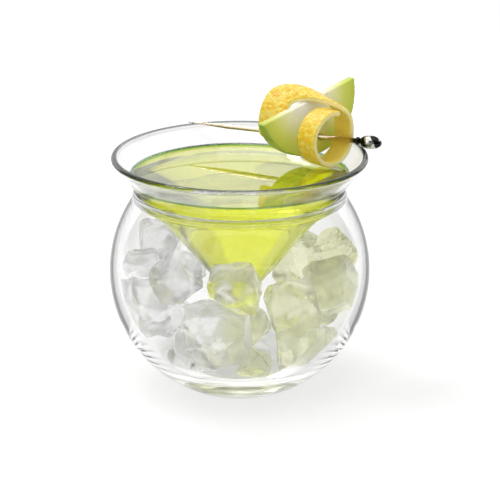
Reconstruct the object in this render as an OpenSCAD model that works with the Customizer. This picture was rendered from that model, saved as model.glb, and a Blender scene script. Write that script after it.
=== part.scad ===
/* [Bowl] */
// Outside diameter of the round bowl
bowl_d = 95; // [84:1:110]
// Wall of the bowl at its widest
bowl_wall = 2.3; // [1.8:0.1:3]
// How far the hollow sits above the ball's centre, which thickens the bottom
hollow_rise = 1.6; // [0:0.1:2]
// Thickness of the solid glass under the hollow
base_t = 11; // [7:0.5:14]
// Radius of the ring that the bowl stands on
foot_r = 20; // [14:0.5:24]
// Radius of the shallow dimple inside the foot ring
dimple_r = 15; // [8:0.5:16]
// Depth of that dimple
dimple_t = 1.2; // [0.4:0.1:2]
// Rounding where the hollow's floor meets its wall
floor_round = 9; // [4:0.5:12]
// How far the bowl narrows from its widest to the edge of its lip
neck_in = 8.7; // [7:0.1:11]
// Half the thickness of the rolled lip
lip_bead = 1.3; // [0.9:0.1:1.8]
// Rounding in the crease under the lip
lip_fillet = 1.5; // [0.8:0.1:2.5]

/* [Cone glass] */
// Height of the rim above the top of the bowl's lip
rim_rise = 13.4; // [9:0.1:20]
// How far the rim reaches out past the bowl's lip
rim_reach = 7.55; // [6:0.05:9]
// Half the thickness of the rounded rim
rim_bead = 1.15; // [0.9:0.05:1.6]
// Angle of the lower cone from upright
cone_a = 38.7; // [36:0.1:41]
// Height of the bend above the bowl's lip, where the wall turns steeper
bend_rise = 2.2; // [0.5:0.1:5]
// Wall of the cone glass
cone_wall = 1.9; // [1.4:0.1:2.4]
// Outside rounding of the pointed end
tip_r = 5.5; // [4:0.1:8]
// Inside rounding of the pointed end
tip_in_r = 3; // [1.5:0.1:3.5]
// Gap between the cone glass and the lip that carries it
seat_gap = 0.05; // [0:0.01:0.3]

/* [Drink] */
// How far the drink stays below the rim
headroom = 8.1; // [7.5:0.1:20]
// Gap between the drink and the glass around it
drink_gap = 0.05; // [0.02:0.01:0.3]

/* [Ice] */
// Size of the ice pieces, where 1 is a well-filled bowl
ice_size = 1; // [0.85:0.01:1.1]
// Gap between one ice piece and the next
ice_gap = 0.5; // [0.2:0.05:0.9]
// Gap between the ice and the glass
ice_clear = 0.3; // [0.1:0.05:0.6]

/* [Pick] */
// Distance from the centre line of the glass to the pick
pick_offset = 29.2; // [24:0.2:32]
// Direction of the pick, turned from the X axis
pick_turn = -26.1; // [-40:0.5:-10]
// Thickness of the pick's shaft
pick_d = 1.8; // [1.2:0.1:2.4]
// Length of the tapered point
point_l = 16; // [8:0.5:24]
// How far the point reaches past the rim
point_past = 1.6; // [0.5:0.1:5]
// Diameter of the small collar
collar_d = 3; // [2.6:0.1:4]
// Width of the collar
collar_w = 1.6; // [1:0.1:2.4]
// Diameter of the bead at the pick's end
bead_d = 5.2; // [4:0.1:7]
// Length of that bead
bead_l = 8.4; // [6:0.1:11]
// Gap between the pick and what it lies on or goes through
pick_gap = 0.15; // [0.05:0.05:0.4]

/* [Citrus twist] */
// Thickness of the peel
peel_t = 2.1; // [1.4:0.1:2.8]
// Width of the strip of peel
peel_w = 9; // [6:0.1:10]
// Outside radius of the small curl
curl_r = 10.6; // [9:0.1:11.2]
// Outside radius of the wide curl behind it
wide_curl_r = 15.6; // [14:0.1:16.5]

/* [Melon slice] */
// Radius of the round edge of the slice
melon_r = 23.2; // [20:0.1:23.6]
// How far the straight edge is cut below the middle of that round edge
core_cut = 3; // [2.5:0.1:6]
// Thickness along the straight edge
melon_edge_t = 3; // [2:0.1:4]
// Thickness at the round edge
melon_skin_t = 9; // [6:0.1:10]
// Depth of the two score cuts in the straight edge
score_depth = 5; // [1:0.1:8]

/* [Hidden] */
round_fn = 120;
ice_fn = 40;
ICE_NAMES = [for (i = [1 : 20]) str("ice_", i < 10 ? "0" : "", i)];

glass_colour = [0.88, 0.92, 0.93, 0.35];
drink_colour = [0.86, 0.9, 0.2];
metal_colour = [0.72, 0.7, 0.62];
peel_colour = [0.96, 0.76, 0.16];
melon_colour = [0.8, 0.87, 0.5];
ice_colour = [0.9, 0.94, 0.88];

// Bowl: a ball cut off by the table at the foot ring, with a raised ball-shaped hollow
bowl_r = bowl_d / 2;
ball_z = sqrt(bowl_r * bowl_r - foot_r * foot_r);
hollow_r = bowl_r - bowl_wall;
hollow_z = ball_z + hollow_rise;
// How deep a wall runs into the round section that it meets
root = 0.02;
// The lip's round section stands on the hollow's edge
lip_r = bowl_r - neck_in;
bead_x = lip_r - lip_bead;
bead_z = hollow_z + sqrt(pow(hollow_r + lip_bead - root, 2) - bead_x * bead_x);
wall_top = hollow_z + hollow_r * sin(atan2(bead_z - hollow_z, bead_x));
mouth_h = bead_z + lip_bead;
// The crease fillet touches the ball and the lip's round section
fillet_far = bowl_r + lip_fillet;
fillet_near = lip_bead + lip_fillet;
bead_far = norm([bead_x, bead_z - ball_z]);
fillet_turn = acos((pow(fillet_far, 2) + pow(bead_far, 2) - pow(fillet_near, 2)) / (2 * fillet_far * bead_far));
fillet_a = atan2(bead_z - ball_z, bead_x) - fillet_turn;
fillet_c = [fillet_far * cos(fillet_a), ball_z + fillet_far * sin(fillet_a)];
fillet_foot = [bowl_r * cos(fillet_a), ball_z + bowl_r * sin(fillet_a)];
// The floor rounding touches the floor and the hollow
floor_c = [sqrt(pow(hollow_r - floor_round, 2) - pow(base_t + floor_round - hollow_z, 2)), base_t + floor_round];
floor_turn = atan2(floor_c[1] - hollow_z, floor_c[0]);
floor_top = [hollow_r * cos(floor_turn), hollow_z + hollow_r * sin(floor_turn)];

// Cone glass: its lower cone touches the lip's round section, seat_gap away
rim_r = lip_r + rim_reach;
glass_h = mouth_h + rim_rise;
apex_z = bead_z - (bead_x - (lip_bead + seat_gap) / cos(cone_a)) / tan(cone_a);
bend = [(mouth_h + bend_rise - apex_z) * tan(cone_a), mouth_h + bend_rise];
rim_c = [rim_r - rim_bead, glass_h - rim_bead];
// The upper wall runs from the bend to the rim's round section, flush with it outside
rim_run = norm(rim_c - bend);
upper_a = atan2(rim_c[0] - bend[0], rim_c[1] - bend[1]) + asin((rim_bead - root) / rim_run);
wall_out = [cos(upper_a), -sin(upper_a)];
drink_z = glass_h - headroom;

// Height and radius of the bend for a wall face that lies d inside the outer face
function bend_rise_of(d) = d * sin((cone_a + upper_a) / 2) / cos((upper_a - cone_a) / 2);
function bend_at(d) = bend + [bend_rise_of(d) * tan(cone_a) - d / cos(cone_a), bend_rise_of(d)];
// Radius of such a face at height z above the bend
function upper_r(d, z) = bend[0] + (z - bend[1]) * tan(upper_a) - d / cos(upper_a);
function hollow_at(z) = sqrt(hollow_r * hollow_r - pow(z - hollow_z, 2));

// Pick: it crosses the rim's crest at two points, point end and bead end
crest_r = rim_r - rim_bead;
half_span = sqrt(crest_r * crest_r - pick_offset * pick_offset);
point_at = -half_span - point_past;
collar_at = half_span - collar_w / 2 - 0.1;
bead_at = collar_at + collar_w / 2;
pick_end = bead_at + bead_l;
shaft_r = pick_d / 2;
rest_r = shaft_r * (point_past + 3) / (point_l + 3);
rest_low = glass_h + rest_r + pick_gap;
rest_high = glass_h + collar_d / 2 + pick_gap;
pick_tilt = atan2(rest_high - rest_low, 2 * half_span);
pick_mid_z = (rest_low + rest_high) / 2;

// Citrus twist: a strip that winds once wide behind the slice and once tight in front of it
// The small curl hangs on the pick, clear of the inner wall at the height of its lowest point
curl_turn = 18.9;
curl_rise = 3.2;
curl_in = 6.1;
curl_out = upper_r(cone_wall, glass_h + curl_rise - curl_r) - curl_in;
curl_c = curl_out * [cos(curl_turn), sin(curl_turn), 0] + [0, 0, glass_h + curl_rise];
wide_c = curl_c + [-10.6, 14.4, 2.6];
wind_from = 200;
wind_to = -295;
wind_step = 7.5;
wind_n = floor((wind_from - wind_to) / wind_step);

// Melon slice: middle of its round edge, and how the slice is turned
slice_c = curl_c + [-7.5, 7.4, melon_r - 8.5];
slice_turn = [-1.17, -12.93, 40.47];
// Width of the two score cuts
score_w = 0.7;

// The list below was laid out in a hollow of this radius, and it grows and shrinks with the real one
laid_r = 45.2;
ice_fit = hollow_r / laid_r;
// Ice: bearing from the X axis, height, distance in from the wall, radius
ICE = [
    [159, 50, 13, 11],
    [188, 44, 9.5, 9.5],
    [198, 33, 7.5, 13.5],
    [222, 46, 15, 10.5],
    [267, 44.5, 16, 12.5],
    [256, 29.5, 9, 15.5],
    [303, 39.5, 11, 12.5],
    [358, 50, 9.5, 9.5],
    [338, 41, 9, 12.5],
    [309, 24, 5, 13],
    [333, 18, 5, 10],
    [281, 16, 7, 8],
    [238, 20.5, 8, 10.5],
    [130, 37, 11, 13],
    [92, 30, 9, 14],
    [48, 36, 10, 13],
    [17, 27, 8, 11],
    [160, 21, 9, 11.5],
    [90, 16, 30, 12.5],
    [70, 49, 9, 10]
];
function seed(i) = let (r = hollow_at(ICE[i][1] * ice_fit) - ICE[i][2] * ice_fit)
    [r * cos(ICE[i][0]), r * sin(ICE[i][0]), ICE[i][1] * ice_fit];
function ice_r(i) = ICE[i][3] * ice_fit * ice_size;
// Edge of a block before its corners are rounded off, against its radius
block_share = 1.5;
// Distance from seed i to the flat cut between it and seed j, which lies far away
function cut_at(i, j, far) = (far * far + pow(ice_r(i), 2) - pow(ice_r(j), 2)) / (2 * far);

module half_disc(c, r, fn = round_fn) {
    intersection() {
        translate(c) circle(r = r, $fn = fn);
        translate([0, c[1] - r]) square([c[0] + r, 2 * r]);
    }
}

module hollow_section() {
    intersection() {
        half_disc([0, hollow_z], hollow_r);
        translate([0, floor_top[1]]) square([bowl_r, glass_h]);
    }
    polygon([[0, base_t], [floor_c[0], base_t], floor_c, floor_top, [0, floor_top[1]]]);
    intersection() {
        translate(floor_c) circle(r = floor_round, $fn = round_fn);
        translate([floor_c[0], 0]) square([bowl_r, floor_top[1]]);
    }
}

// Room for the ice inside the hollow: a straight slope passes inside the floor's rounding
module ice_room_section() {
    room_r = hollow_r - ice_clear;
    slope_top = [0, hollow_z] + room_r * [cos(floor_turn), sin(floor_turn)];
    intersection() {
        half_disc([0, hollow_z], room_r, ice_fn);
        polygon([[0, base_t + ice_clear], [floor_c[0], base_t + ice_clear], slope_top, [bowl_r, slope_top[1]],
            [bowl_r, glass_h], [0, glass_h]]);
    }
}

module bowl_section() {
    difference() {
        union() {
            intersection() {
                half_disc([0, ball_z], bowl_r);
                square([bowl_r, wall_top]);
            }
            translate([bead_x, bead_z]) circle(r = lip_bead, $fn = round_fn);
            difference() {
                polygon([fillet_c, [bead_x, bead_z], fillet_foot]);
                translate(fillet_c) circle(r = lip_fillet, $fn = round_fn);
            }
        }
        hollow_section();
        dimple_section();
    }
}

// A shallow dome under the foot, as deep as dimple_t in the middle
module dimple_section() {
    dome_r = (dimple_r * dimple_r + dimple_t * dimple_t) / (2 * dimple_t);
    half_disc([0, dimple_t - dome_r], dome_r);
}

module bowl() {
    color(glass_colour) rotate_extrude($fn = round_fn) bowl_section();
}

// A level top for such a section, at height z
function level_top(d, z) = [[upper_r(d, z), z], [0, z]];

// Section of the cone's outer face moved in by d, with its point rounded, closed by the points of top
module cone_section(d, top, round_r, fn = round_fn) {
    low = apex_z + d / sin(cone_a);
    centre = low + round_r / sin(cone_a);
    touch = [0, centre] + (round_r - root) * [cos(cone_a), -sin(cone_a)];
    polygon(concat([[0, touch[1]], touch, bend_at(d)], top));
    half_disc([0, centre], round_r, fn);
}

// The wall ends square inside the rim's round section
module cone_glass_section() {
    end_out = rim_c + (rim_bead - root) * wall_out;
    end_in = end_out - (cone_wall + root) * wall_out;
    difference() {
        cone_section(0, [end_out, end_in, [0, end_in[1]]], tip_r);
        cone_section(cone_wall, level_top(cone_wall, glass_h + rim_bead), tip_in_r);
    }
    translate(rim_c) circle(r = rim_bead, $fn = round_fn);
}

module cone_glass() {
    color(glass_colour) rotate_extrude($fn = round_fn) cone_glass_section();
}

module drink() {
    inset = cone_wall + drink_gap;
    color(drink_colour) rotate_extrude($fn = round_fn)
        cone_section(inset, level_top(inset, drink_z), tip_in_r - drink_gap);
}

// Puts a shape made along +X onto the pick's line, at the middle between its two rests
module on_pick() {
    rotate(pick_turn) translate([0, pick_offset, pick_mid_z]) rotate([0, -pick_tilt, 0]) children();
}

module pick_section() {
    neck_r = shaft_r * 0.95;
    polygon([[0, point_at], [shaft_r * 0.16, point_at], [shaft_r, point_at + point_l], [shaft_r, bead_at + 0.6],
        [0, bead_at + 0.6]]);
    intersection() {
        translate([collar_d / 2 - collar_w / 2, collar_at]) circle(d = collar_w, $fn = round_fn);
        translate([0, point_at]) square([collar_d, pick_end - point_at]);
    }
    translate([0, collar_at - collar_w / 2]) square([collar_d / 2 - collar_w / 2, collar_w]);
    bead_section(neck_r);
}

// The bead swells from the neck in one arc and ends in a small flat face
module bead_section(neck_r) {
    sag = bead_d / 2 - neck_r;
    half_l = bead_l / 2;
    arc_r = (half_l * half_l + sag * sag) / (2 * sag);
    intersection() {
        translate([bead_d / 2 - arc_r, bead_at + half_l]) circle(r = arc_r, $fn = round_fn);
        translate([0, bead_at]) square([bead_d, bead_l]);
    }
}

module pick() {
    color(metal_colour) on_pick() rotate([0, 90, 0]) rotate_extrude($fn = 60) pick_section();
}

// A share kept between 0 and 1 that starts and ends slowly
function eased(s) = let (t = min(1, max(0, s))) t * t * (3 - 2 * t);
// Share of the way from the wide curl to the tight one at winding angle a: the place, then the radius
function wind_share(a) = eased((135 - a) / 90);
function curl_share(a) = eased((110 - a) / 110);
function wind_c(a) = wide_c + (curl_c - wide_c) * wind_share(a);
function wind_r(a) = wide_curl_r + (curl_r - wide_curl_r) * curl_share(a);
function wind_bearing(a) = 40 + 3 * wind_share(a);
function side_of(t) = [cos(t), sin(t), 0];
function front_of(t) = [sin(t), -cos(t), 0];
// One corner of the strip's section: angle, share of the thickness inward, share of the width forward
function peel_point(a, inward, forward) = wind_c(a)
    + (wind_r(a) - inward * peel_t) * (cos(a) * side_of(wind_bearing(a)) + [0, 0, sin(a)])
    + forward * peel_w / 2 * front_of(wind_bearing(a));
PEEL_SECTION = [[0, -0.86], [0, 0.86], [0.2, 1], [0.8, 1], [1, 0.9], [1, -0.9], [0.8, -1], [0.2, -1]];

module citrus_twist() {
    m = len(PEEL_SECTION);
    points = [for (k = [0 : wind_n]) let (a = wind_from - k * wind_step)
        for (p = PEEL_SECTION) peel_point(a, p[0], p[1])];
    sides = [for (k = [0 : wind_n - 1]) for (j = [0 : m - 1])
        [k * m + j, (k + 1) * m + j, (k + 1) * m + (j + 1) % m, k * m + (j + 1) % m]];
    first = [[for (j = [0 : m - 1]) j]];
    last = [[for (j = [m - 1 : -1 : 0]) wind_n * m + j]];
    color(peel_colour) difference() {
        polyhedron(points = points, faces = concat(sides, first, last), convexity = 6);
        on_pick() rotate([0, 90, 0])
            cylinder(r = shaft_r + pick_gap, h = 4 * half_span, center = true, $fn = 24);
    }
}

module melon_slice() {
    color(melon_colour) difference() {
        translate(slice_c) rotate(slice_turn) difference() {
            intersection() {
                sphere(r = melon_r, $fn = round_fn);
                translate([-melon_r, 0, 0]) rotate([90, 0, 90]) linear_extrude(2 * melon_r)
                    polygon([[-melon_edge_t / 2, -core_cut], [melon_edge_t / 2, -core_cut],
                        [melon_skin_t / 2, -melon_r], [-melon_skin_t / 2, -melon_r]]);
            }
            for (x = [-melon_r * 0.36, melon_r * 0.34])
                translate([x - score_w / 2, -melon_skin_t, -core_cut - score_depth])
                    cube([score_w, 2 * melon_skin_t, 2 * score_depth]);
        }
        on_pick() rotate([0, 90, 0]) cylinder(r = shaft_r + pick_gap, h = 4 * melon_r, center = true, $fn = 60);
    }
}

// Everything on the far side of a flat cut that lies reach away from p, in direction v
module beyond(p, v, reach) {
    size = 3 * bowl_r;
    translate(p) rotate([0, acos(v[2] / norm(v)), atan2(v[1], v[0])])
        translate([-size / 2, -size / 2, reach]) cube(size);
}

// A tilted cube with its corners rounded off
module rough_block(i) {
    intersection() {
        sphere(r = ice_r(i), $fn = ice_fn);
        rotate([37 * i, 71 * i, 53 * i]) cube(block_share * ice_r(i), center = true);
    }
}

module ice_piece(i) {
    color(ice_colour) intersection() {
        difference() {
            translate(seed(i)) rough_block(i);
            for (j = [0 : len(ICE) - 1]) {
                way = seed(j) - seed(i);
                if (j != i && norm(way) < ice_r(i) + ice_r(j) + ice_gap)
                    beyond(seed(i), way, cut_at(i, j, norm(way)) - ice_gap / 2);
            }
            rotate_extrude($fn = ice_fn)
                cone_section(-ice_clear, level_top(-ice_clear, glass_h), tip_r + ice_clear, ice_fn);
        }
        rotate_extrude($fn = ice_fn) ice_room_section();
    }
}

bowl();
cone_glass();
drink();
pick();
citrus_twist();
melon_slice();
for (i = [0 : len(ICE_NAMES) - 1]) ice_piece(i);
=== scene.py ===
import math
import bmesh
import bpy
from mathutils import Matrix, Vector, noise


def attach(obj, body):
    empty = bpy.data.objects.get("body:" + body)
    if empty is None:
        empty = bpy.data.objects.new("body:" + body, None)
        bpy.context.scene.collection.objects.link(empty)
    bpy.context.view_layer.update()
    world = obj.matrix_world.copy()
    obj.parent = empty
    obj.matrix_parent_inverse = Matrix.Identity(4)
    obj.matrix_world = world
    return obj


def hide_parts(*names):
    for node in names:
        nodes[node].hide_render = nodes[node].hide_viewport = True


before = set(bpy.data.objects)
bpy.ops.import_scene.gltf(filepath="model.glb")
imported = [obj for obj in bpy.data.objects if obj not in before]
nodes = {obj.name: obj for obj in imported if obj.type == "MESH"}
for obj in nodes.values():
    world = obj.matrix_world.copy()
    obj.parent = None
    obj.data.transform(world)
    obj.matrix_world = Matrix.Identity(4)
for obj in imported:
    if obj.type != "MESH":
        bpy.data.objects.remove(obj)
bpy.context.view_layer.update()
scene = bpy.context.scene
mm = 0.001      # shapes are in millimetres, materials and lamps in metres
print("stage: frame loaded,", len(nodes), "nodes")


def clamped(value):
    return min(1, max(0, value))


def arc(centre, radius, startAngle, endAngle, count):
    # points on a round section, angles in degrees from the outward direction
    points = []
    for i in range(count + 1):
        a = math.radians(startAngle + (endAngle - startAngle) * i / count)
        points.append((centre[0] + radius * math.cos(a), centre[1] + radius * math.sin(a)))
    return points


def between(start, end, count):
    # points between two ends, without the ends
    across, up = end[0] - start[0], end[1] - start[1]
    return [(start[0] + across * i / count, start[1] + up * i / count) for i in range(1, count)]


def turnedMesh(name, profile, steps):
    # spins a section of (distance from the axis, height) that starts and ends on the axis
    bm = bmesh.new()
    verts = [bm.verts.new((max(x, 0) * mm, 0, z * mm)) for x, z in profile]
    for a, b in zip(verts, verts[1:]):
        bm.edges.new((a, b))
    bmesh.ops.spin(bm, geom=bm.verts[:] + bm.edges[:], cent=(0, 0, 0), axis=(0, 0, 1), dvec=(0, 0, 0),
                   angle=math.tau, steps=steps, use_merge=True, use_duplicate=False)
    bmesh.ops.remove_doubles(bm, verts=bm.verts, dist=1e-7)
    return finishedMesh(name, bm)


def finishedMesh(name, bm):
    bmesh.ops.recalc_face_normals(bm, faces=bm.faces)
    if bm.calc_volume(signed=True) < 0:     # all faces point inward
        bmesh.ops.reverse_faces(bm, faces=bm.faces)
    mesh = bpy.data.meshes.new(name)
    bm.to_mesh(mesh)
    bm.free()
    mesh.shade_smooth()
    return mesh


def voxelCopy(name, grain, rounds, strength):
    # a copy of a solid with small even faces and softened corners
    rough = nodes[name].copy()
    rough.data = rough.data.copy()
    rough.modifiers.clear()
    scene.collection.objects.link(rough)
    remesh = rough.modifiers.new("voxels", "REMESH")
    remesh.mode = "VOXEL"
    remesh.voxel_size = grain * mm
    smooth = rough.modifiers.new("melt", "SMOOTH")
    smooth.factor = strength
    smooth.iterations = rounds
    graph = bpy.context.evaluated_depsgraph_get()
    mesh = bpy.data.meshes.new_from_object(rough.evaluated_get(graph))
    bpy.data.objects.remove(rough)
    mesh.materials.clear()
    mesh.shade_smooth()
    return mesh


def markHeights(mesh, name, start, end):
    # 0 at the start height and 1 at the end height
    marks = mesh.attributes.new(name, "FLOAT", "POINT")
    for v in mesh.vertices:
        marks.data[v.index].value = clamped((v.co.z / mm - start) / (end - start))


def newPiece(name, mesh, material, replaced):
    mesh.materials.append(material)
    piece = bpy.data.objects.new(name, mesh)
    scene.collection.objects.link(piece)
    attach(piece, "root")
    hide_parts(replaced)


# materials are put together from output sockets

def setInputs(tree, node, inputs):
    # a socket is linked, and anything else is the input's own value
    for key, value in inputs.items():
        if isinstance(value, bpy.types.NodeSocket):
            tree.links.new(value, node.inputs[key])
        else:
            node.inputs[key].default_value = value


def addNode(tree, kind, inputs=None):
    node = tree.nodes.new(kind)
    setInputs(tree, node, inputs or {})
    return node


def newMaterial(name):
    material = bpy.data.materials.new(name)
    material.use_nodes = True
    return material, material.node_tree, material.node_tree.nodes["Principled BSDF"]


def objectPlace(tree):
    return addNode(tree, "ShaderNodeTexCoord").outputs["Object"]


def attribute(tree, name):
    node = addNode(tree, "ShaderNodeAttribute")
    node.attribute_name = name
    return node.outputs["Fac"]


def maths(tree, operation, *values):
    node = tree.nodes.new("ShaderNodeMath")
    node.operation = operation
    setInputs(tree, node, dict(enumerate(values)))
    return node.outputs["Value"]


def noiseOf(tree, place, grain):
    scale, detail, roughness = grain
    node = addNode(tree, "ShaderNodeTexNoise", {
        "Vector": place, "Scale": scale, "Detail": detail, "Roughness": roughness})
    return node.outputs["Fac"]


def bumpOf(tree, height, size):
    strength, distance = size
    node = addNode(tree, "ShaderNodeBump", {"Strength": strength, "Distance": distance, "Height": height})
    return node.outputs["Normal"]


def mapped(tree, value, span, target=(0.0, 1.0), soft=False):
    node = addNode(tree, "ShaderNodeMapRange", {
        "Value": value, "From Min": span[0], "From Max": span[1], "To Min": target[0], "To Max": target[1]})
    node.interpolation_type = "SMOOTHSTEP" if soft else "LINEAR"
    return node.outputs["Result"]


def rampOf(tree, value, *stops):
    # stops are (position, colour), from low to high
    node = addNode(tree, "ShaderNodeValToRGB", {"Fac": value})
    elements = node.color_ramp.elements
    for i, (at, colour) in enumerate(stops):
        stop = elements[i] if i < 2 else elements.new(at)     # a new ramp has two stops
        stop.position = at
        stop.color = (*colour, 1)
    return node.outputs["Color"]


def colourMix(tree, share, first, second):
    node = tree.nodes.new("ShaderNodeMix")
    node.data_type = "RGBA"
    setInputs(tree, node, {"Factor": share, 6: first, 7: second})     # 6 and 7 are the colours
    return node.outputs[2]


def letLightThrough(material, tint):
    # soft light and shadow rays go straight through a clear piece and reach what it holds
    tree = material.node_tree
    path = addNode(tree, "ShaderNodeLightPath").outputs
    passing = maths(tree, "MAXIMUM", path["Is Shadow Ray"], path["Is Diffuse Ray"])
    clear = addNode(tree, "ShaderNodeBsdfTransparent", {"Color": (*tint, 1)})
    shader = tree.nodes["Principled BSDF"]
    mix = addNode(tree, "ShaderNodeMixShader", {0: passing, 1: shader.outputs[0], 2: clear.outputs[0]})
    setInputs(tree, tree.nodes["Material Output"], {"Surface": mix.outputs[0]})


# round bowl that holds the ice

bowl = {
    "outerR": 47.5, "wall": 2.3, "base": 11.0, "floorRound": 9.0,
    "hollowRise": 1.6,                 # of the hollow's middle over the ball's
    "lipR": 38.8, "bead": 1.3, "crease": 1.5,
    "footR": 20.0, "dimpleR": 15.0, "dimpleDepth": 1.2,
    "ringInner": ((0.35, 0.02), (0.8, 0)),     # soft edges of the foot ring, as distance from
    "ringOuter": ((0.9, 0), (0.2, 0.06)),      # the sharp edge and height
    "ringTrim": (1, 0.8),              # degrees that dimple and ball stop short of the ring
    "steps": 256,
    "tint": (1.0, 1.0, 1.0),
    "paintedEdgeShade": (0.56, 0.59, 0.55),     # painted shade: thick round edges are drawn darker in the colour
    "rimShadeMark": (-0.4, 0.6),            # where the painted shade on the lip starts and is full, from its middle
    "footShadeMark": (10, 2),               # the same painted shade for the foot, over the table
    "shadowTint": (0.92, 0.92, 0.92),
    "ior": 1.5,
    "roughness": 0.0,
    "waves": (45.0, 1.0, 0.4),         # noise of the blown wall: scale, detail, roughness
    "waveBump": (0.02, 0.001),         # strength and distance
}


def lipMiddle():
    # middle of the round lip, which the cone glass rests on
    ballZ = math.sqrt(bowl["outerR"] ** 2 - bowl["footR"] ** 2)
    x = bowl["lipR"] - bowl["bead"]
    rise = math.sqrt((bowl["outerR"] - bowl["wall"] + bowl["bead"]) ** 2 - x ** 2)
    return x, ballZ + bowl["hollowRise"] + rise


def bowlProfile():
    outer, crease = bowl["outerR"], bowl["crease"]
    ballZ = math.sqrt(outer ** 2 - bowl["footR"] ** 2)
    hollowR = outer - bowl["wall"]
    hollowZ = ballZ + bowl["hollowRise"]
    beadX, beadZ = lipMiddle()
    # the crease under the lip touches the ball and the bead
    far = outer + crease
    near = bowl["bead"] + crease
    beadFar = math.hypot(beadX, beadZ - ballZ)
    turn = math.acos((far ** 2 + beadFar ** 2 - near ** 2) / (2 * far * beadFar))
    creaseTurn = math.atan2(beadZ - ballZ, beadX) - turn
    creaseX = far * math.cos(creaseTurn)
    creaseZ = ballZ + far * math.sin(creaseTurn)
    creaseAngle = math.degrees(creaseTurn)
    toBead = math.degrees(math.atan2(beadZ - creaseZ, beadX - creaseX))
    # the floor's rounding touches the hollow and the base
    floorR = bowl["floorRound"]
    floorZ = bowl["base"] + floorR
    floorX = math.sqrt((hollowR - floorR) ** 2 - (floorZ - hollowZ) ** 2)
    floorAngle = math.degrees(math.atan2(floorZ - hollowZ, floorX))
    lipAngle = math.degrees(math.atan2(beadZ - hollowZ, beadX))
    # dimple and foot ring
    domeR = (bowl["dimpleR"] ** 2 + bowl["dimpleDepth"] ** 2) / (2 * bowl["dimpleDepth"])
    domeAngle = math.degrees(math.asin(bowl["dimpleR"] / domeR))
    footAngle = -math.degrees(math.acos(bowl["footR"] / outer))
    ringInner = [(bowl["dimpleR"] + away, up) for away, up in bowl["ringInner"]]
    ringOuter = [(bowl["footR"] - away, up) for away, up in bowl["ringOuter"]]
    domeTrim, ballTrim = bowl["ringTrim"]

    points = arc((0, bowl["dimpleDepth"] - domeR), domeR, 90, 90 - domeAngle + domeTrim, 10)
    points += ringInner + between(ringInner[-1], ringOuter[0], 3) + ringOuter
    points += arc((0, ballZ), outer, footAngle + ballTrim, creaseAngle, 70)
    points += arc((creaseX, creaseZ), crease, 180 + creaseAngle, toBead, 8)[1:]
    points += arc((beadX, beadZ), bowl["bead"], toBead - 180, 180 + lipAngle, 24)[1:]
    points += arc((0, hollowZ), hollowR, lipAngle, floorAngle, 60)[1:]
    points += arc((floorX, floorZ), floorR, floorAngle, -90, 16)[1:]
    points += between((floorX, bowl["base"]), (0, bowl["base"]), 8) + [(0, bowl["base"])]
    return points


def glassMaterial(name, look):
    material, tree, shader = newMaterial(name)
    # painted shade: the lip and the foot darken towards the edge shade colour
    thick = maths(tree, "MAXIMUM", attribute(tree, "rim"), attribute(tree, "foot"))
    waves = noiseOf(tree, objectPlace(tree), look["waves"])
    setInputs(tree, shader, {
        "Base Color": rampOf(tree, thick, (0, look["tint"]), (1, look["paintedEdgeShade"])),
        "Roughness": look["roughness"],
        "IOR": look["ior"],
        "Transmission Weight": 1.0,
        "Normal": bumpOf(tree, waves, look["waveBump"]),
    })
    letLightThrough(material, look["shadowTint"])
    return material


bowlMesh = turnedMesh("bowl_glass", bowlProfile(), bowl["steps"])
lipX, lipZ = lipMiddle()
# heights at which painted shade darkens the lip and the foot
markHeights(bowlMesh, "rim", lipZ + bowl["rimShadeMark"][0], lipZ + bowl["rimShadeMark"][1])
markHeights(bowlMesh, "foot", *bowl["footShadeMark"])
newPiece("bowl_glass", bowlMesh, glassMaterial("clearBowlGlass", bowl), "bowl")
print("stage: bowl")

# cone-shaped glass that rests in the bowl's mouth

cone = {
    "height": 86.846, "rimR": 46.35, "rimBead": 1.15, "wall": 1.9,
    "angle": 38.7,                     # of the lower wall, from upright
    "seatGap": 0.05,                   # between the cone and the bowl's lip
    "bendRise": 2.2, "bendReach": 2.0,
    "tipOut": 5.5, "tipIn": 3.0,       # rounded point, outside and inside
    "beadTrim": 6,                     # degrees that the rim's bead stops short of the inner face
    "rimDrop": 1.2, "rimPinch": 0.02,  # soft passage from the bead to the inner face
    "steps": 256,
    "tint": (1.0, 1.0, 1.0),
    # painted shade: the rim is drawn near black
    "paintedEdgeShade": (0.07, 0.08, 0.09),
    "rimShadeMark": (-0.75, -0.3),          # where the painted dark shade on the rim starts and is full, from the top
    "shadowTint": (0.92, 0.92, 0.92),
    "ior": 1.5,
    "roughness": 0.0,
    "waves": (60.0, 1.0, 0.4),
    "waveBump": (0.015, 0.001),
}


def coneFaces():
    # apex, bend and bead middle of the outer face, and its slopes below and above the bend
    lower = math.radians(cone["angle"])
    seat = (bowl["bead"] + cone["seatGap"]) / math.cos(lower)
    apex = lipZ - (lipX - seat) / math.tan(lower)
    bendZ = lipZ + bowl["bead"] + cone["bendRise"]
    bend = ((bendZ - apex) * math.tan(lower), bendZ)
    rim = (cone["rimR"] - cone["rimBead"], cone["height"] - cone["rimBead"])
    across, up = rim[0] - bend[0], rim[1] - bend[1]
    upper = math.atan2(across, up) + math.asin(cone["rimBead"] / math.hypot(across, up))
    return {"apex": apex, "bend": bend, "rim": rim, "lower": lower, "upper": upper}


def bendPoint(inset):
    # bend of a face that lies this far inside the outer one
    faces = coneFaces()
    lower, upper = faces["lower"], faces["upper"]
    bendX, bendZ = faces["bend"]
    rise = inset * (1 / math.cos(upper) - 1 / math.cos(lower)) / (math.tan(upper) - math.tan(lower))
    return (bendX + rise * math.tan(lower) - inset / math.cos(lower), bendZ + rise)


def upperRadius(inset, z):
    faces = coneFaces()
    bendX, bendZ = faces["bend"]
    return bendX + (z - bendZ) * math.tan(faces["upper"]) - inset / math.cos(faces["upper"])


def tipArc(inset, radius, count):
    faces = coneFaces()
    centre = (0, faces["apex"] + (inset + radius) / math.sin(faces["lower"]))
    return arc(centre, radius, -90, -cone["angle"], count)


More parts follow.
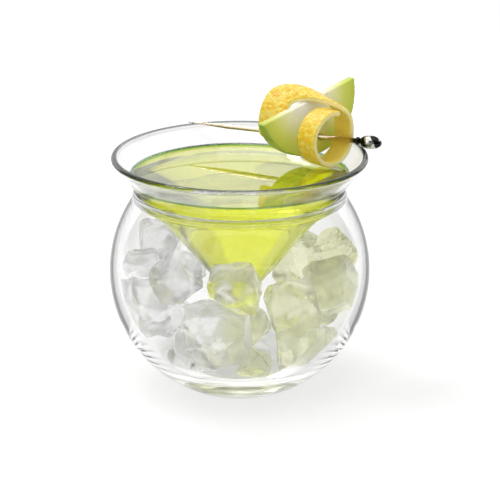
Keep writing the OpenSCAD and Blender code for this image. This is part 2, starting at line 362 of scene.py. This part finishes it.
def softBend(before, corner, after, reach, count):
    # a short curve instead of a sharp corner
    ends = []
    for target in (before, after):
        length = math.hypot(target[0] - corner[0], target[1] - corner[1])
        ends.append([corner[k] + (target[k] - corner[k]) * reach / length for k in (0, 1)])
    points = []
    for i in range(count + 1):
        t = i / count
        pull = ((1 - t) ** 2, 2 * t * (1 - t), t * t)
        points.append([pull[0] * ends[0][k] + pull[1] * corner[k] + pull[2] * ends[1][k] for k in (0, 1)])
    return points


def coneProfile():
    faces = coneFaces()
    bend, rim, upper = faces["bend"], faces["rim"], faces["upper"]
    bead, wall, reach = cone["rimBead"], cone["wall"], cone["bendReach"]
    # the inner face meets the bead at wall - bead inside its middle
    beadStart = -math.degrees(upper)
    beadEnd = 180 + beadStart + math.degrees(math.acos((wall - bead) / bead))
    beadArc = arc(rim, bead, beadStart, beadEnd - cone["beadTrim"], 26)
    beadFoot = (rim[0] + bead * math.cos(upper), rim[1] - bead * math.sin(upper))
    lowZ = rim[1] - cone["rimDrop"]
    low = (upperRadius(wall, lowZ), lowZ)
    pinch = ((beadArc[-1][0] + low[0]) / 2 - cone["rimPinch"], (beadArc[-1][1] + low[1]) / 2)
    inner = bendPoint(wall)
    tipOut = tipArc(0, cone["tipOut"], 10)
    tipIn = tipArc(wall, cone["tipIn"], 8)

    points = tipOut + between(tipOut[-1], bend, 24)[:-2]
    points += softBend(tipOut[-1], bend, beadFoot, reach, 6)
    points += between(bend, beadFoot, 8)[2:] + beadArc + [pinch, low]
    points += between(low, inner, 8)[:-2]
    points += softBend(low, inner, tipIn[-1], reach, 6)
    points += between(inner, tipIn[-1], 24)[2:] + tipIn[::-1]
    return points


coneMesh = turnedMesh("cone_glass_wall", coneProfile(), cone["steps"])
# heights at which painted shade darkens the rim
markHeights(coneMesh, "rim", cone["height"] + cone["rimShadeMark"][0], cone["height"] + cone["rimShadeMark"][1])
newPiece("cone_glass_wall", coneMesh, glassMaterial("clearConeGlass", cone), "cone_glass")
print("stage: cone glass")

# drink in the cone glass

drink = {
    "surface": 78.746,
    "climb": 1.1,                      # how far the drink climbs the glass
    "climbReach": 0.8,                 # how soon it levels out
    "climbSteps": (0.05, 1.38, 14),    # first step inward, growth of the steps and their number
    "intoGlass": 0.12,                 # wets the wall, so no air shows between
    "steps": 256,
    "tint": (0.67, 0.705, 0.035),
    "meniscusShade": (0.09, 0.30, 0.04),    # painted shade: dark green line where the drink climbs the glass
    "meniscusShadeMark": (0.08, 0.35),          # where that line starts and is full, over the surface
    "shadowTint": (0.91, 0.91, 0.89),
    "ior": 1.345,
    "gloss": 0.8, "glossIor": 1.6,
    "ripple": (55.0, 2.0, 0.5),
    "rippleBump": (0.006, 0.001),
}


def drinkProfile():
    surface = drink["surface"]
    inset = cone["wall"] - drink["intoGlass"]
    tip = tipArc(inset, cone["tipIn"] + drink["intoGlass"], 8)
    bend = bendPoint(inset)
    top = surface + drink["climb"]
    edge = (upperRadius(inset, top), top)
    points = tip + between(tip[-1], bend, 20) + [bend] + between(bend, edge, 3) + [edge]
    first, growth, count = drink["climbSteps"]
    for i in range(1, count + 1):
        inward = first * growth ** i
        points.append((edge[0] - inward, surface + drink["climb"] * math.exp(-inward / drink["climbReach"])))
    middle = (0, surface)
    return points + between(points[-1], middle, 12) + [middle]


def drinkMaterial():
    material, tree, shader = newMaterial("greenDrink")
    ripple = noiseOf(tree, objectPlace(tree), drink["ripple"])
    # painted shade: the colour darkens along the line where the drink climbs the glass
    edge = attribute(tree, "edge")
    setInputs(tree, shader, {
        "Base Color": rampOf(tree, edge, (0, drink["tint"]), (1, drink["meniscusShade"])),
        "Roughness": 0.0,
        "IOR": drink["ior"],
        "Transmission Weight": 1.0,
        "Coat Weight": drink["gloss"],
        "Coat Roughness": 0.0,
        "Coat IOR": drink["glossIor"],
        "Normal": bumpOf(tree, ripple, drink["rippleBump"]),
    })
    letLightThrough(material, drink["shadowTint"])
    return material


drinkMesh = turnedMesh("drink_body", drinkProfile(), drink["steps"])
# heights of the painted shade line
meniscusShadeFrom, meniscusShadeTo = drink["meniscusShadeMark"]
markHeights(drinkMesh, "edge", drink["surface"] + meniscusShadeFrom, drink["surface"] + meniscusShadeTo)
newPiece("drink_body", drinkMesh, drinkMaterial(), "drink")
print("stage: drink")

# ice pieces around the cone

ice = {
    "grain": 0.55, "meltRounds": 3, "meltStrength": 0.8,
    "melt": 0.4,                       # melted off evenly
    "wander": (0.44, 0.12),            # melted more or less than that: depth and scale per mm
    "ridges": (2.6, 0.085),            # depth of the hollows between ridges, and scale
    "dents": (0.12, 0.42),             # small dents, depth and scale
    "leastMelt": 0.02,
    "white": (0.998, 0.998, 0.994),
    "paintedDrinkLight": (0.885, 0.90, 0.64),      # painted light: pale green of light that came through the drink above
    "turnsDrinkLit": (-0.016, 0.006),     # from left to right, in metres
    "patches": (70.0, 2.0, 0.5),       # noise that lets colour and frost wander
    "patchShift": 0.03,                # how far the colour wanders, in metres
    "frostMark": (0.35, 0.7),          # least and most frost at these levels of the noise
    "frost": (0.01, 0.1),
    "clouds": (62.0, 3.0, 0.5),
    "cloudMark": (0.36, 0.62),
    "milk": (0.05, 0.34),              # least and most cloudy
    "clearPieces": ("ice_08", "ice_12"),
    "clearness": 0.95,
    "skin": (210.0, 4.0, 0.55),        # noise of the wet skin
    "skinBump": (0.7, 0.0012),
    "ior": 1.31,
    "glow": (0.6, (1.0, 1.0, 0.8), 0.004),     # light inside the milk: weight, colour reach, distance
    "shadowTint": (0.96, 0.96, 0.955),
}


def iceMaterial():
    material, tree, shader = newMaterial("cloudyIce")
    place = objectPlace(tree)
    along = addNode(tree, "ShaderNodeSeparateXYZ", {"Vector": place}).outputs["X"]
    # painted light: colour goes from grey white to the pale green of light through the drink, with soft
    # patches
    patches = noiseOf(tree, place, ice["patches"])
    shifted = maths(tree, "MULTIPLY_ADD", patches, ice["patchShift"], along)
    drinkLightSpan = [x + ice["patchShift"] / 2 for x in ice["turnsDrinkLit"]]
    across = mapped(tree, shifted, drinkLightSpan, soft=True)
    # cloudy cores and clear stretches
    clouds = noiseOf(tree, place, ice["clouds"])
    clear = mapped(tree, clouds, ice["cloudMark"], [1 - milk for milk in ice["milk"]])
    skin = noiseOf(tree, place, ice["skin"])
    weight, colourReach, distance = ice["glow"]
    setInputs(tree, shader, {
        "Base Color": rampOf(tree, across, (0, ice["white"]), (1, ice["paintedDrinkLight"])),
        "Roughness": mapped(tree, patches, ice["frostMark"], ice["frost"]),
        "IOR": ice["ior"],
        "Transmission Weight": maths(tree, "MAXIMUM", clear, attribute(tree, "clearness")),
        "Subsurface Weight": weight,
        "Subsurface Radius": colourReach,
        "Subsurface Scale": distance,
        "Normal": bumpOf(tree, skin, ice["skinBump"]),
    })
    letLightThrough(material, ice["shadowTint"])
    return material


def iceMesh(name):
    mesh = voxelCopy(name, ice["grain"], ice["meltRounds"], ice["meltStrength"])
    mesh.name = name + "_chunk"
    seed = Vector((int(name[-2:]) * 7.3, 1.7, 4.1))      # every piece melts in its own way
    clearness = ice["clearness"] if name in ice["clearPieces"] else 0.0
    marks = mesh.attributes.new("clearness", "FLOAT", "POINT")
    inward = [-v.normal for v in mesh.vertices]
    for v, way in zip(mesh.vertices, inward):
        p = v.co / mm
        depth = ice["melt"] + ice["wander"][0] * noise.noise(p * ice["wander"][1] + seed)
        depth += ice["ridges"][0] * abs(noise.noise(p * ice["ridges"][1] + seed * 0.7))
        depth += ice["dents"][0] * noise.noise(p * ice["dents"][1] + seed)
        v.co += way * max(depth, ice["leastMelt"]) * mm
        marks.data[v.index].value = clearness
    return mesh


cloudyIce = iceMaterial()
iceNames = sorted(n for n in nodes if n.startswith("ice_"))
for name in iceNames:
    newPiece(name + "_chunk", iceMesh(name), cloudyIce, name)
print("stage: ice,", len(iceNames), "pieces")

# metal pick across the rim

pick = {
    "offset": 29.2,                    # from the middle of the glass
    "turn": -26.1,                     # bearing, in degrees
    "gap": 0.15,                       # over the rim
    "shaftR": 0.9, "pointL": 16.0, "pointPast": 1.6,
    "bluntL": 3,                       # how much longer the point would be if it were sharp
    "tip": ((0.1, 0.02), (0.16, 0.12)),     # share of the shaft's radius, distance from the end
    "shoulder": 0.3,                   # straight part after the point
    "collarR": 1.5, "collarW": 1.6, "collarGap": 0.1,
    "collarFoot": (0.06, 0.25),        # small rounding where the shaft meets the collar
    "neckShare": 0.95, "neckFoot": (0.08, 0.03),
    "beadR": 2.6, "beadL": 8.4, "beadTrim": 0.15,
    "beadEnd": ((0.1, 0.03), (0.3, 0)),     # less than the neck's radius, distance from the end
    "endR": 0.35,
    "steps": 64,
    "shaft": (0.60, 0.51, 0.36),
    "bead": (0.62, 0.60, 0.56),
    # painted reflection: near black patches on the bead
    "reflectionDark": (0.02, 0.02, 0.02),
    "turnsToBead": (0.0395, 0.0415),     # from the gold shaft to the bead, which carries the painted reflection, in metres
    # noise that places the painted reflection
    "patches": (330.0, 0.0, 0.5),
    "reflectionMark": (0.46, 0.52),
    "brushed": (60, 900, 900),         # brush marks run along the pick
    "brush": (1.0, 3.0, 0.5),
    "brushBump": (0.06, 0.0003),
    "roughness": (0.06, 0.2),
}


def pickLine():
    # places along the pick, and the matrix that lays it across the rim
    crest = cone["rimR"] - cone["rimBead"]
    half = math.sqrt(crest ** 2 - pick["offset"] ** 2)
    start = -half - pick["pointPast"]
    collar = half - pick["collarW"] / 2 - pick["collarGap"]
    neck = collar + pick["collarW"] / 2
    blunt = pick["bluntL"]
    restR = pick["shaftR"] * (pick["pointPast"] + blunt) / (pick["pointL"] + blunt)
    low = cone["height"] + restR + pick["gap"]
    high = cone["height"] + pick["collarR"] + pick["gap"]
    tilt = math.atan2(high - low, 2 * half)
    place = Matrix.Translation((0, pick["offset"] * mm, (low + high) / 2 * mm))
    matrix = Matrix.Rotation(math.radians(pick["turn"]), 4, "Z") @ place @ Matrix.Rotation(-tilt, 4, "Y")
    return start, collar, neck, matrix


def pickProfile():
    start, collar, neck = pickLine()[:3]
    shaft, halfCollar, halfL = pick["shaftR"], pick["collarW"] / 2, pick["beadL"] / 2
    tip = [(shaft * share, start + past) for share, past in pick["tip"]]
    pointEnd = (shaft, start + pick["pointL"])
    shaftStart = (shaft, pointEnd[1] + pick["shoulder"])
    footR, footL = pick["collarFoot"]
    shaftEnd = (shaft, collar - halfCollar - footL)
    neckR = shaft * pick["neckShare"]
    sag = pick["beadR"] - neckR
    arcR = (halfL ** 2 + sag ** 2) / (2 * sag)
    reach = math.degrees(math.asin((halfL - pick["beadTrim"]) / arcR))
    end = neck + pick["beadL"]

    points = [(0, start)] + tip + between(tip[-1], pointEnd, 12) + [pointEnd, shaftStart]
    points += between(shaftStart, shaftEnd, 16) + [shaftEnd, (shaft + footR, collar - halfCollar)]
    points += arc((pick["collarR"] - halfCollar, collar), halfCollar, -90, 90, 12)
    points += [(neckR + pick["neckFoot"][0], neck + pick["neckFoot"][1])]
    points += arc((pick["beadR"] - arcR, neck + halfL), arcR, -reach, reach, 24)
    points += [(neckR - less, end - back) for less, back in pick["beadEnd"]]
    return points + [(pick["endR"], end), (0, end)]


def pickMaterial():
    material, tree, shader = newMaterial("pickMetal")
    place = objectPlace(tree)
    along = addNode(tree, "ShaderNodeSeparateXYZ", {"Vector": place}).outputs["X"]
    onBead = mapped(tree, along, pick["turnsToBead"])
    metal = rampOf(tree, onBead, (0, pick["shaft"]), (1, pick["bead"]))
    # painted reflection: dark patches, as if the bead mirrored its surroundings
    patches = mapped(tree, noiseOf(tree, place, pick["patches"]), pick["reflectionMark"])
    share = maths(tree, "MULTIPLY", patches, onBead)
    stretched = addNode(tree, "ShaderNodeMapping", {"Vector": place, "Scale": pick["brushed"]})
    brush = noiseOf(tree, stretched.outputs["Vector"], pick["brush"])
    setInputs(tree, shader, {
        "Base Color": colourMix(tree, share, metal, (*pick["reflectionDark"], 1)),
        "Metallic": 1.0,
        "Roughness": mapped(tree, brush, (0, 1), pick["roughness"]),
        "Normal": bumpOf(tree, brush, pick["brushBump"]),
    })
    return material


pickMesh = turnedMesh("pick_metal", pickProfile(), pick["steps"])
pickMesh.transform(pickLine()[-1] @ Matrix.Rotation(math.radians(90), 4, "Y"))
newPiece("pick_metal", pickMesh, pickMaterial(), "pick")
print("stage: pick")

# strip of citrus peel, wound twice; its turns are named by the winding angle in degrees

peel = {
    "thickness": 2.1, "width": 9.0, "curlR": 10.6, "wideR": 16.0,
    "from": 200, "to": -295, "step": 2.0,
    "curlBearing": 18.9,               # where the small curl stands on the glass, in degrees
    "curlOut": 33.09,                  # how far from the middle of the glass
    "curlRise": 3.2,                   # of its middle, over the rim
    "wideAway": (-9.9, 14.6, 2.9),     # middle of the wide curl, from the middle of the small one
    "bearings": (40, 43),              # of the wide curl and of the small one
    "moves": (135, 45),                # where the strip goes over from the wide curl to the small one
    "narrows": (110, 0),
    "lean": 4.4,                       # how much the wide curl narrows towards the viewer
    "leanEnds": (120, 30),
    "skinShare": 0.94, "pithShare": 0.92,      # half width at the outside and at the inside
    "skinRound": 0.22, "pithRound": 0.2, "squareness": 6,
    "bulge": 0.06,                     # of the cut edges
    "inset": 0.1, "widthShare": 0.99,
    "wander": (0.096, 0.05, 0.2),      # unevenness: depth, scale along and across the strip
    "widthWander": (0.02, 0.06),
    "endTaper": (0.25, 3),             # share, and reach in degrees
    "skinStops": ((0.38, (0.95, 0.55, 0.01)), (0.50, (1.0, 0.70, 0.03)), (0.60, (1.0, 0.77, 0.09)),
                  (0.72, (1.0, 0.90, 0.38))),      # streaks, from deep to pale
    "skinMark": (0.05, 0.25),          # depth at which the skin's colour ends
    "pith": (0.8, (1.0, 0.88, 0.38)),
    "inside": (1, (1.0, 0.76, 0.11)),
    "streaks": (620.0, 3.0, 0.55),
    "pores": (700.0, 3.0, 0.55),
    "poreBump": (0.45, 0.0015),
    "roughness": 0.4, "gloss": 0.7, "glossRoughness": 0.08,
    "glow": (0.2, (1.0, 0.85, 0.4), 0.003),
}


def passed(angle, ends):
    # 0 before the first winding angle and 1 after the second, with soft ends
    t = clamped((ends[0] - angle) / (ends[0] - ends[1]))
    return t * t * (3 - 2 * t)


def windPlace(angle):
    # middle, outside radius and bearing of the strip at this winding angle
    bearing = math.radians(peel["curlBearing"])
    reach = peel["curlOut"]
    tight = Vector((math.cos(bearing) * reach, math.sin(bearing) * reach, cone["height"] + peel["curlRise"]))
    wide = tight + Vector(peel["wideAway"])
    share = passed(angle, peel["moves"])
    middle = wide + (tight - wide) * share
    radius = peel["wideR"] + (peel["curlR"] - peel["wideR"]) * passed(angle, peel["narrows"])
    start, end = peel["bearings"]
    return middle, radius, math.radians(start + (end - start) * share)


def peelPoint(angle, inward, forward):
    middle, radius, bearing = windPlace(angle)
    a = math.radians(angle)
    lean = peel["lean"] * (1 - passed(angle, peel["leanEnds"])) * (forward / peel["width"] + 0.5)
    reach = radius - inward - lean
    side = Vector((math.cos(bearing), math.sin(bearing), 0))
    front = Vector((math.sin(bearing), -math.cos(bearing), 0))
    up = Vector((0, 0, 1))
    return middle + side * reach * math.cos(a) + up * reach * math.sin(a) + front * forward


def peelSection():
    # points of (inward, forward, share of the depth from the skin), once round the strip
    halfW, thick = peel["width"] / 2, peel["thickness"]
    skinShare, pithShare, corner = peel["skinShare"], peel["pithShare"], peel["skinRound"]

    def cutEdge(t):
        wide = skinShare + peel["bulge"] * math.sin(math.pi * t) - (skinShare - pithShare) * t
        return corner + (thick - 2 * corner) * t, halfW * wide

    across = [-1 + 2 * i / 14 for i in range(15)]
    down = [i / 6 for i in range(1, 6)]
    section = [(corner * abs(f) ** peel["squareness"], f * halfW * skinShare, 0.0) for f in across]
    section += [(cutEdge(t)[0], cutEdge(t)[1], t) for t in down]
    section += [(thick - peel["pithRound"] * abs(f) ** peel["squareness"], f * halfW * pithShare, 1.0)
                for f in across[::-1]]
    section += [(cutEdge(t)[0], -cutEdge(t)[1], t) for t in down[::-1]]
    return section


def peelMesh():
    section = peelSection()
    half = peel["thickness"] / 2
    count = int((peel["from"] - peel["to"]) / peel["step"])
    depthWander, alongScale, acrossScale = peel["wander"]
    widthWander, widthScale = peel["widthWander"]
    taperShare, taperReach = peel["endTaper"]
    bm = bmesh.new()
    depthLayer = bm.verts.layers.float.new("depth")
    rings = []
    for k in range(count + 1):
        angle = peel["from"] - k * peel["step"]
        fromEnd = min(k, count - k) * peel["step"]
        taper = 1 - taperShare * math.exp(-fromEnd / taperReach)
        wide = (taper + widthWander * noise.noise(Vector((angle * widthScale, 7, 1)))) * peel["widthShare"]
        ring = []
        for inward, forward, depth in section:
            wobble = depthWander * noise.noise(Vector((angle * alongScale, forward * acrossScale, 3)))
            inside = (inward - half) * taper + half + peel["inset"] + wobble
            v = bm.verts.new(peelPoint(angle, inside, forward * wide) * mm)
            v[depthLayer] = depth
            ring.append(v)
        rings.append(ring)
    for a, b in zip(rings, rings[1:]):
        for j in range(len(section)):
            after = (j + 1) % len(section)
            bm.faces.new((a[j], b[j], b[after], a[after]))
    bm.faces.new(rings[0][::-1])
    bm.faces.new(rings[-1])
    return finishedMesh("citrus_peel", bm)


def peelMaterial():
    material, tree, shader = newMaterial("citrusPeel")
    place = objectPlace(tree)
    depth = attribute(tree, "depth")
    flesh = rampOf(tree, depth, peel["pith"], peel["inside"])
    skin = rampOf(tree, noiseOf(tree, place, peel["streaks"]), *peel["skinStops"])
    outside = mapped(tree, depth, peel["skinMark"], (1.0, 0.0))
    bump = bumpOf(tree, noiseOf(tree, place, peel["pores"]), peel["poreBump"])
    weight, colourReach, distance = peel["glow"]
    setInputs(tree, shader, {
        "Base Color": colourMix(tree, outside, flesh, skin),
        "Roughness": peel["roughness"],
        "Coat Weight": peel["gloss"],
        "Coat Roughness": peel["glossRoughness"],
        "Subsurface Weight": weight,
        "Subsurface Radius": colourReach,
        "Subsurface Scale": distance,
        "Normal": bump,
        "Coat Normal": bump,
    })
    return material


newPiece("citrus_peel", peelMesh(), peelMaterial(), "citrus_twist")
print("stage: citrus twist")

# melon slice behind the small curl

melon = {
    "grain": 0.35, "softRounds": 3, "softStrength": 0.6,
    "radius": 23.2,
    "away": (-7.5, 7.4, 14.7),         # middle of the round edge, from the middle of the small curl
    "cut": (0.05, 0.05, 0.5),          # taken off: evenly, unevenly, and scale per mm
    "stops": (                         # colours by depth, as a share of the radius
        (0.02, (0.32, 0.46, 0.05)),    # skin
        (0.07, (0.60, 0.67, 0.08)),
        (0.25, (0.74, 0.79, 0.16)),    # flesh
        (0.5, (0.92, 0.93, 0.55)),
        (0.8, (0.98, 0.98, 0.90)),     # core
    ),
    "wander": (180.0, 3.0, 0.5),       # noise that lets the colours wander
    "wanderDepth": 0.06,
    "fibres": (700.0, 4.0, 0.5),
    "fibreBump": (0.25, 0.0003),
    "roughness": 0.3,
    "glow": (0.35, (0.8, 1.0, 0.4), 0.003),
}


def melonMesh():
    mesh = voxelCopy("melon_slice", melon["grain"], melon["softRounds"], melon["softStrength"])
    middle = windPlace(peel["to"])[0] + Vector(melon["away"])
    even, uneven, scale = melon["cut"]
    marks = mesh.attributes.new("depth", "FLOAT", "POINT")
    inward = [-v.normal for v in mesh.vertices]
    for v, way in zip(mesh.vertices, inward):
        p = v.co / mm
        marks.data[v.index].value = clamped((melon["radius"] - (p - middle).length) / melon["radius"])
        v.co += way * (even + uneven * noise.noise(p * scale)) * mm
    return mesh


def melonMaterial():
    material, tree, shader = newMaterial("melonFlesh")
    place = objectPlace(tree)
    wander = noiseOf(tree, place, melon["wander"])
    depth = maths(tree, "MULTIPLY_ADD", wander, melon["wanderDepth"], attribute(tree, "depth"))
    fibres = noiseOf(tree, place, melon["fibres"])
    weight, colourReach, distance = melon["glow"]
    setInputs(tree, shader, {
        "Base Color": rampOf(tree, depth, *melon["stops"]),
        "Roughness": melon["roughness"],
        "Subsurface Weight": weight,
        "Subsurface Radius": colourReach,
        "Subsurface Scale": distance,
        "Normal": bumpOf(tree, fibres, melon["fibreBump"]),
    })
    return material


newPiece("melon_slice_flesh", melonMesh(), melonMaterial(), "melon_slice")
print("stage: melon slice")

# floor, world and lamps

studio = {
    "floorSize": 6, "floorDrop": 0.0002,
    "floorColour": (0.86, 0.86, 0.86),
    "floorRoughness": 0.9,
    "floorLift": 0.25,                 # added where the camera sees the floor
    "glassLift": 0.14,                 # added where glass and metal show it
    "worldLight": 0.64,                # on matt surfaces
    "worldSeen": 1.12,                 # by the camera and in glass and metal
    "lamps": {                         # place, target, size, power in watts
        "topLamp": ((-0.15, -0.1, 1.2), (0, 0, 0.04), (0.9, 0.9), 4),
        "leftLamp": ((-0.9, -0.5, 0.6), (0, 0, 0.05), (0.3, 0.7), 0.7),
        "sparkLamp": ((-0.35, 0.3, 0.9), (0, 0, 0.08), (0.16, 0.16), 1.6),
    },
    "cardTone": 0.04,
    "cards": {                         # place, turn in degrees, size, seen through glass
        "leftFlag": ((-0.5, 0.05, 0.2), 90, (0.6, 0.4), True),
        "rightFlag": ((0.5, 0.05, 0.2), 90, (0.6, 0.4), True),
        "frontFlag": ((0, -0.7, 0.12), 0, (1.2, 0.3), True),
        "backFlag": ((0, 0.35, 0.56), 0, (0.5, 0.16), True),
        "pickFlag": ((0.1, -0.5, 0.42), 0, (1.0, 0.34), False),
    },
}


def floorMaterial():
    material, tree, shader = newMaterial("paleFloor")
    path = addNode(tree, "ShaderNodeLightPath").outputs
    mirrored = maths(tree, "MAXIMUM", path["Is Glossy Ray"], path["Is Transmission Ray"])
    throughGlass = maths(tree, "MULTIPLY", mirrored, studio["glassLift"])
    lift = maths(tree, "MULTIPLY_ADD", path["Is Camera Ray"], studio["floorLift"], throughGlass)
    setInputs(tree, shader, {
        "Base Color": (*studio["floorColour"], 1),
        "Roughness": studio["floorRoughness"],
        "Specular IOR Level": 0.0,
        "Emission Color": (1, 1, 1, 1),
        "Emission Strength": lift,
    })
    return material


def makeWorld():
    world = bpy.data.worlds.new("studioWorld")
    world.use_nodes = True
    scene.world = world
    tree = world.node_tree
    path = addNode(tree, "ShaderNodeLightPath").outputs
    mirrored = maths(tree, "MAXIMUM", path["Is Camera Ray"], path["Is Glossy Ray"])
    seen = maths(tree, "MAXIMUM", mirrored, path["Is Transmission Ray"])
    level = mapped(tree, seen, (0, 1), (studio["worldLight"], studio["worldSeen"]))
    setInputs(tree, tree.nodes["Background"], {"Color": (1, 1, 1, 1), "Strength": level})


def softLamp(name, place, target, size, power):
    lamp = bpy.data.lights.new(name, "AREA")
    lamp.shape = "RECTANGLE"
    lamp.size, lamp.size_y = size
    lamp.energy = power
    holder = bpy.data.objects.new(name, lamp)
    holder.location = place
    holder.rotation_euler = (Vector(target) - Vector(place)).to_track_quat("-Z", "Y").to_euler()
    scene.collection.objects.link(holder)


def darkCard(name, place, turn, size, throughGlass):
    # a card beside the glass draws its edges dark; only reflections and refraction show it
    upright = (math.radians(90), 0, math.radians(turn))
    bpy.ops.mesh.primitive_plane_add(size=1, location=place, rotation=upright)
    card = bpy.context.object
    card.name = name
    card.scale = (*size, 1)
    material, tree, shader = newMaterial(name + "Card")
    tone = studio["cardTone"]
    setInputs(tree, shader, {"Base Color": (tone, tone, tone, 1), "Roughness": 1.0})
    card.data.materials.append(material)
    card.visible_camera = False
    card.visible_shadow = False
    card.visible_diffuse = False
    card.visible_transmission = throughGlass


bpy.ops.mesh.primitive_plane_add(size=studio["floorSize"], location=(0, 0, -studio["floorDrop"]))
floor = bpy.context.object
floor.name = "floor"
floor.data.materials.append(floorMaterial())
makeWorld()
for name, settings in studio["lamps"].items():
    softLamp(name, *settings)
for name, settings in studio["cards"].items():
    darkCard(name, *settings)
print("stage: floor and light")

# camera at the photograph's angle

view = {
    "distance": 0.9, "elevation": 18.79, "aim": (0, 0, 0.04308),
    "lens": 177.12, "sensor": 36, "shift": (0.0206, 0.038), "clip": (0.01, 20),
    "bounces": 32,                     # light crosses many faces of glass and ice
}
rise = math.radians(view["elevation"])
camera = bpy.data.objects.new("camera", bpy.data.cameras.new("camera"))
camera.location = Vector(view["aim"]) + view["distance"] * Vector((0, -math.cos(rise), math.sin(rise)))
camera.rotation_euler = (math.radians(90) - rise, 0, 0)
camera.data.lens = view["lens"]
camera.data.sensor_width = view["sensor"]
camera.data.shift_x, camera.data.shift_y = view["shift"]
camera.data.clip_start, camera.data.clip_end = view["clip"]
scene.collection.objects.link(camera)
scene.camera = camera
scene.view_settings.view_transform = "Standard"
scene.cycles.max_bounces = view["bounces"]
scene.cycles.glossy_bounces = view["bounces"]
scene.cycles.transmission_bounces = view["bounces"]
scene.cycles.transparent_max_bounces = view["bounces"]
print("stage: camera")
